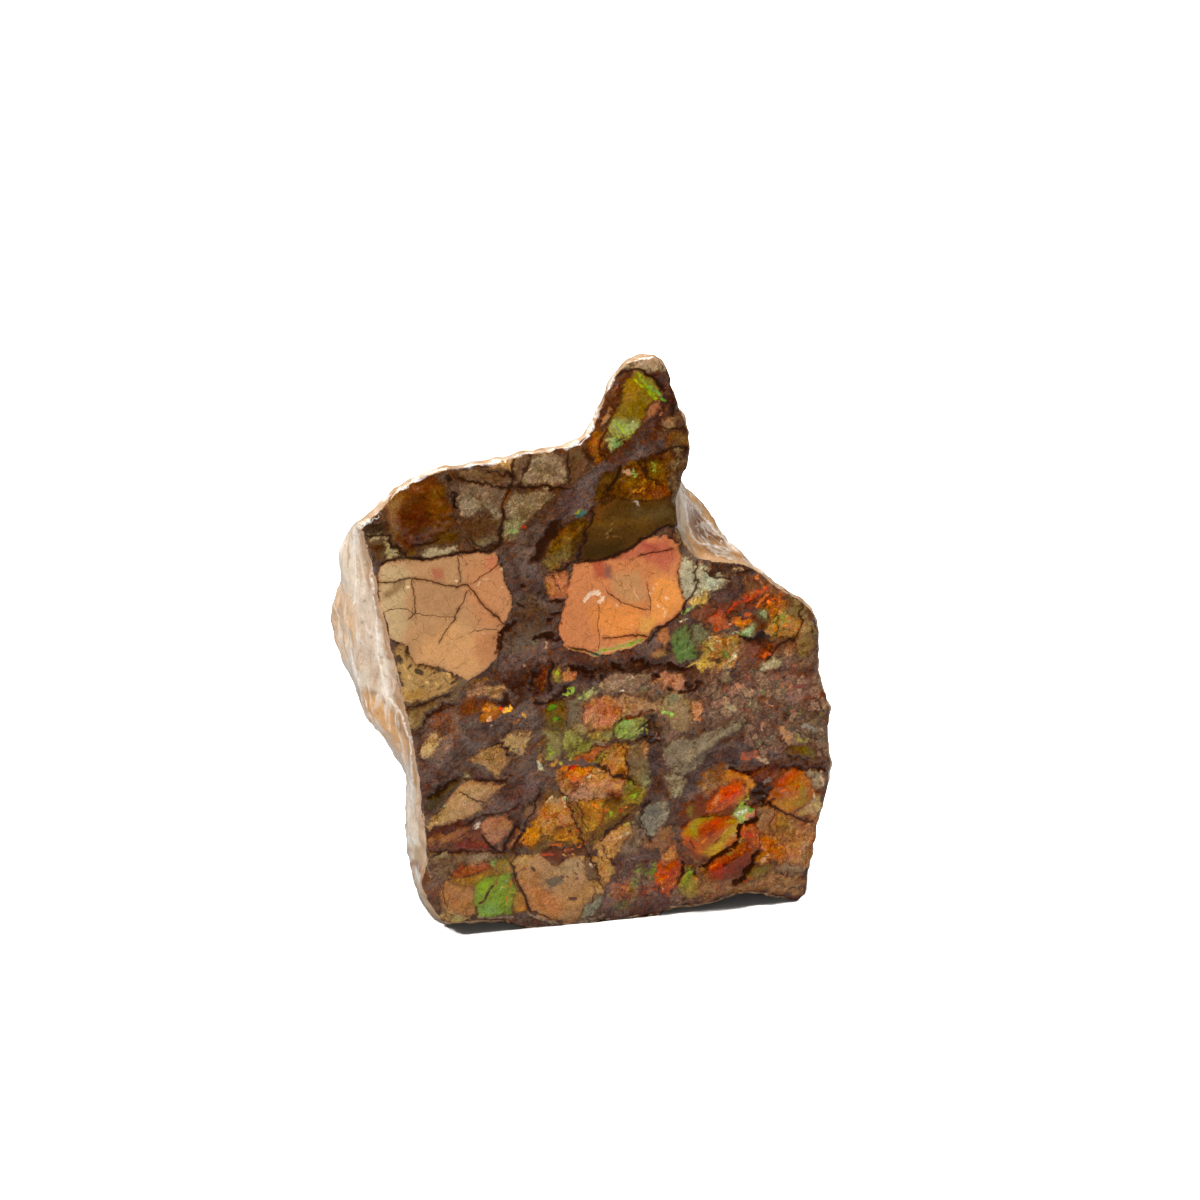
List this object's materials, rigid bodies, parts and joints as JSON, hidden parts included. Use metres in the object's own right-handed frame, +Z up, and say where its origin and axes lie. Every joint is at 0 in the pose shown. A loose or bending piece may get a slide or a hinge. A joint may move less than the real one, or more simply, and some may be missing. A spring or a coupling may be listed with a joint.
{
  "type": "ammolite specimen",
  "caption": "Loose display stone with a polished face of crushed iridescent fossil shell in brown rock, a horn on its top edge and a small flat foot.",
  "frame": {"origin": "under the middle of the stone's box, on the surface it stands on", "axes": "+Z up through the horn, the polished face towards -Y and leaning back 6 degrees, +X to the right of the face"},
  "size_m": [0.0566, 0.0272, 0.0641],
  "materials": {
    "lacquered_stone": "crushed shell mosaic in orange, honey, olive and green between brown veins, polished and lacquered; rough lacquered rock at the sides and back"
  },
  "bodies": {
    "root": {"ammolite_stone": "lacquered_stone"}
  },
  "joints": []
}
